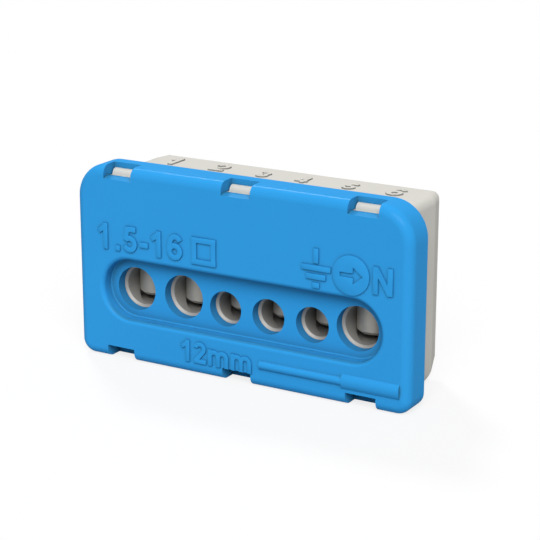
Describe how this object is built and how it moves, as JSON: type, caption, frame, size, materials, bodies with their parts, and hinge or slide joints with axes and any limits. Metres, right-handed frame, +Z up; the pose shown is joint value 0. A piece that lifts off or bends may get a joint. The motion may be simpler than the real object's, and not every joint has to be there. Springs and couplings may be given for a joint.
{
  "type": "terminal block",
  "caption": "Screw terminal block: a light grey housing with a clipped blue cover, round wire entries in a long recess, and clamp screws reached from the top.",
  "frame": {"origin": "middle of the block's box, seen from above, on the face it stands on", "axes": "+X along the row of wire entries, to the right seen from the front; +Y into the block, from its face to its back; +Z up"},
  "size_m": [0.05, 0.0164, 0.0268],
  "materials": {
    "cover_plastic": "satin",
    "housing_plastic": "satin",
    "bar_metal": "nickel plated",
    "screw_steel": "zinc plated"
  },
  "bodies": {
    "block": {"front_cover": "cover_plastic", "housing": "housing_plastic", "terminal_bar": "bar_metal"},
    "clamp_screw_1": {"clamp_screw_1": "screw_steel"},
    "clamp_screw_2": {"clamp_screw_2": "screw_steel"},
    "clamp_screw_3": {"clamp_screw_3": "screw_steel"},
    "clamp_screw_4": {"clamp_screw_4": "screw_steel"},
    "clamp_screw_5": {"clamp_screw_5": "screw_steel"},
    "clamp_screw_6": {"clamp_screw_6": "screw_steel"}
  },
  "joints": [
    {"name": "screw_1_travel", "type": "slide", "parent": "block", "child": "clamp_screw_1", "axis": [0, 0, 1], "range_m": [-0.0009, 0.0044]},
    {"name": "screw_2_travel", "type": "slide", "parent": "block", "child": "clamp_screw_2", "axis": [0, 0, 1], "range_m": [-0.0009, 0.0044]},
    {"name": "screw_3_travel", "type": "slide", "parent": "block", "child": "clamp_screw_3", "axis": [0, 0, 1], "range_m": [-0.0009, 0.0032]},
    {"name": "screw_4_travel", "type": "slide", "parent": "block", "child": "clamp_screw_4", "axis": [0, 0, 1], "range_m": [-0.0009, 0.0032]},
    {"name": "screw_5_travel", "type": "slide", "parent": "block", "child": "clamp_screw_5", "axis": [0, 0, 1], "range_m": [-0.0009, 0.0032]},
    {"name": "screw_6_travel", "type": "slide", "parent": "block", "child": "clamp_screw_6", "axis": [0, 0, 1], "range_m": [-0.0009, 0.0044]}
  ]
}
